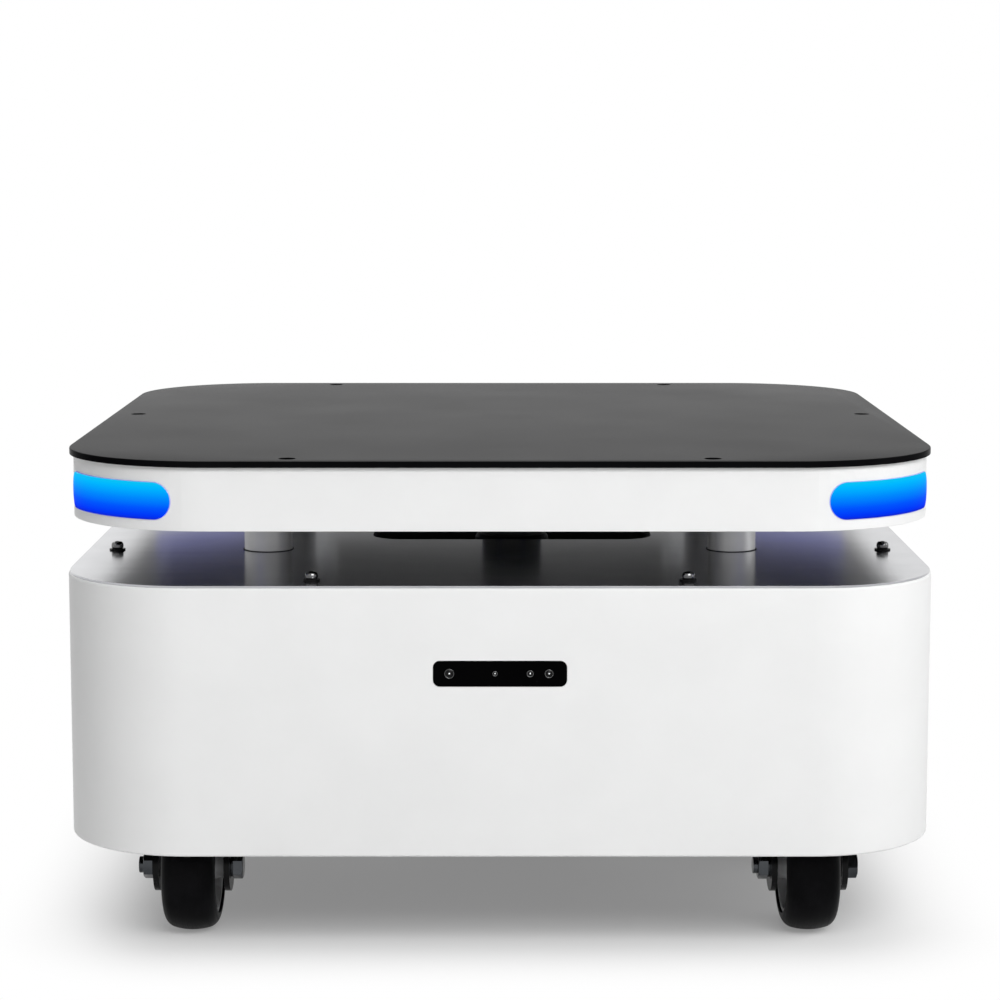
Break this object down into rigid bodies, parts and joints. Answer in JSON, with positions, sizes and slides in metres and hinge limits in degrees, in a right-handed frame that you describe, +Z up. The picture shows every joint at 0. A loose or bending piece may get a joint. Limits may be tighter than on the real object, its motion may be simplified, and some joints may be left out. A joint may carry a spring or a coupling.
{
  "type": "autonomous mobile robot",
  "caption": "Low mobile robot: white rounded sheet casing on swivel casters and sprung drive wheels, load deck on posts above with lit corner strips and a lidar between.",
  "frame": {"origin": "centre of the footprint, on the floor", "axes": "-Y forward (depth camera side), +X to the right seen from the front, +Z up"},
  "size_m": [0.831, 0.831, 0.472],
  "materials": {
    "battery_case": "moulded case",
    "black_glass": "smoked",
    "black_plastic": "fine texture",
    "black_steel": "black oxide",
    "casing_paint": "gloss white powder coat",
    "deck_paint": "gloss black coat",
    "drive_polyurethane": "cast polyurethane tread",
    "frame_paint": "satin black coat",
    "grommet_rubber": "matte",
    "heat_sink": "anodised",
    "hub_aluminium": "machined",
    "lens_glass": "coated lens",
    "light_diffuser": "lit diffuser",
    "mirror_plate": "high-gloss light grey coat",
    "post_steel": "satin tube",
    "primer_grey": "light grey coat",
    "scanner_window": "dark infrared window",
    "signal_red": "moulded",
    "signal_yellow": "moulded",
    "tyre_rubber": "moulded tread",
    "wheel_grey": "moulded rim",
    "zinc_steel": "bright zinc plate"
  },
  "bodies": {
    "chassis": {"base_top_plate": "mirror_plate", "battery_pack": "battery_case", "casing_brackets": "zinc_steel", "casing_shell": "casing_paint", "caster_mounts": "zinc_steel", "charging_socket": "black_plastic", "chassis_frame": "frame_paint", "chassis_plate": "frame_paint", "control_unit": "heat_sink", "deck_frame": "primer_grey", "deck_plate": "deck_paint", "deck_posts": "post_steel", "deck_skirt": "casing_paint", "depth_camera_body": "heat_sink", "depth_camera_glass": "black_glass", "depth_camera_lenses": "lens_glass", "drive_brackets": "frame_paint", "drive_pivot_pins": "zinc_steel", "drive_spring_left": "zinc_steel", "drive_spring_right": "zinc_steel", "emergency_stop_collar": "signal_yellow", "frame_bolts": "zinc_steel", "lidar_body": "black_plastic", "lidar_cap": "black_plastic", "lidar_well": "black_plastic", "lidar_window": "scanner_window", "light_strips": "light_diffuser", "motor_drivers": "heat_sink", "post_grommets": "grommet_rubber", "power_button_bezel": "zinc_steel", "service_panel": "frame_paint", "top_plate_screws": "black_steel", "top_plate_washers": "black_steel"},
    "caster_fork_front_left": {"caster_fork_front_left": "frame_paint", "caster_axle_front_left": "zinc_steel"},
    "caster_wheel_front_left": {"caster_rim_front_left": "wheel_grey", "caster_tyre_front_left": "tyre_rubber"},
    "caster_fork_front_right": {"caster_fork_front_right": "frame_paint", "caster_axle_front_right": "zinc_steel"},
    "caster_wheel_front_right": {"caster_rim_front_right": "wheel_grey", "caster_tyre_front_right": "tyre_rubber"},
    "caster_fork_rear_left": {"caster_fork_rear_left": "frame_paint", "caster_axle_rear_left": "zinc_steel"},
    "caster_wheel_rear_left": {"caster_rim_rear_left": "wheel_grey", "caster_tyre_rear_left": "tyre_rubber"},
    "caster_fork_rear_right": {"caster_fork_rear_right": "frame_paint", "caster_axle_rear_right": "zinc_steel"},
    "caster_wheel_rear_right": {"caster_rim_rear_right": "wheel_grey", "caster_tyre_rear_right": "tyre_rubber"},
    "drive_arm_left": {"drive_arm_left": "frame_paint", "gearmotor_left": "heat_sink"},
    "drive_wheel_left": {"drive_hub_left": "hub_aluminium", "drive_tyre_left": "drive_polyurethane"},
    "drive_arm_right": {"drive_arm_right": "frame_paint", "gearmotor_right": "heat_sink"},
    "drive_wheel_right": {"drive_hub_right": "hub_aluminium", "drive_tyre_right": "drive_polyurethane"},
    "lidar_rotor": {"lidar_rotor": "black_plastic"},
    "emergency_stop_button": {"emergency_stop_button": "signal_red"},
    "power_button": {"power_button": "zinc_steel"}
  },
  "joints": [
    {"name": "caster_swivel_front_left", "type": "hinge", "parent": "chassis", "child": "caster_fork_front_left", "pos_m": [-0.298, -0.26, 0.145], "axis": [0, 0, 1], "continuous": true},
    {"name": "caster_roll_front_left", "type": "hinge", "parent": "caster_fork_front_left", "child": "caster_wheel_front_left", "pos_m": [-0.2987, -0.29999, 0.0625], "axis": [0.9998, -0.0175, 0], "continuous": true},
    {"name": "caster_swivel_front_right", "type": "hinge", "parent": "chassis", "child": "caster_fork_front_right", "pos_m": [0.298, -0.26, 0.145], "axis": [0, 0, 1], "continuous": true},
    {"name": "caster_roll_front_right", "type": "hinge", "parent": "caster_fork_front_right", "child": "caster_wheel_front_right", "pos_m": [0.2994, -0.29998, 0.0625], "axis": [0.9994, 0.0349, 0], "continuous": true},
    {"name": "caster_swivel_rear_left", "type": "hinge", "parent": "chassis", "child": "caster_fork_rear_left", "pos_m": [-0.298, 0.26, 0.145], "axis": [0, 0, 1], "continuous": true},
    {"name": "caster_roll_rear_left", "type": "hinge", "parent": "caster_fork_rear_left", "child": "caster_wheel_rear_left", "pos_m": [-0.298, 0.22, 0.0625], "axis": [1, 0, 0], "continuous": true},
    {"name": "caster_swivel_rear_right", "type": "hinge", "parent": "chassis", "child": "caster_fork_rear_right", "pos_m": [0.298, 0.26, 0.145], "axis": [0, 0, 1], "continuous": true},
    {"name": "caster_roll_rear_right", "type": "hinge", "parent": "caster_fork_rear_right", "child": "caster_wheel_rear_right", "pos_m": [0.298, 0.22, 0.0625], "axis": [1, 0, 0], "continuous": true},
    {"name": "drive_suspension_left", "type": "hinge", "parent": "chassis", "child": "drive_arm_left", "pos_m": [-0.291, -0.115, 0.128], "axis": [1, 0, 0], "range_deg": [-3, 3], "stiffness_Nm_per_rad": 500, "springref_deg": -3.44, "deforming": ["drive_spring_left"]},
    {"name": "drive_roll_left", "type": "hinge", "parent": "drive_arm_left", "child": "drive_wheel_left", "pos_m": [-0.33, 0, 0.09], "axis": [1, 0, 0], "continuous": true},
    {"name": "drive_suspension_right", "type": "hinge", "parent": "chassis", "child": "drive_arm_right", "pos_m": [0.291, -0.115, 0.128], "axis": [1, 0, 0], "range_deg": [-3, 3], "stiffness_Nm_per_rad": 500, "springref_deg": -3.44, "deforming": ["drive_spring_right"]},
    {"name": "drive_roll_right", "type": "hinge", "parent": "drive_arm_right", "child": "drive_wheel_right", "pos_m": [0.33, 0, 0.09], "axis": [1, 0, 0], "continuous": true},
    {"name": "lidar_spin", "type": "hinge", "parent": "chassis", "child": "lidar_rotor", "pos_m": [0.0125, 0, 0.356], "axis": [0, 0, 1], "continuous": true},
    {"name": "emergency_stop_press", "type": "slide", "parent": "chassis", "child": "emergency_stop_button", "axis": [0, -1, 0], "range_m": [0, 0.004], "stiffness_N_per_m": 1500, "springref_m": -0.004},
    {"name": "power_button_press", "type": "slide", "parent": "chassis", "child": "power_button", "axis": [0, -1, 0], "range_m": [0, 0.002], "stiffness_N_per_m": 900, "springref_m": -0.002}
  ]
}
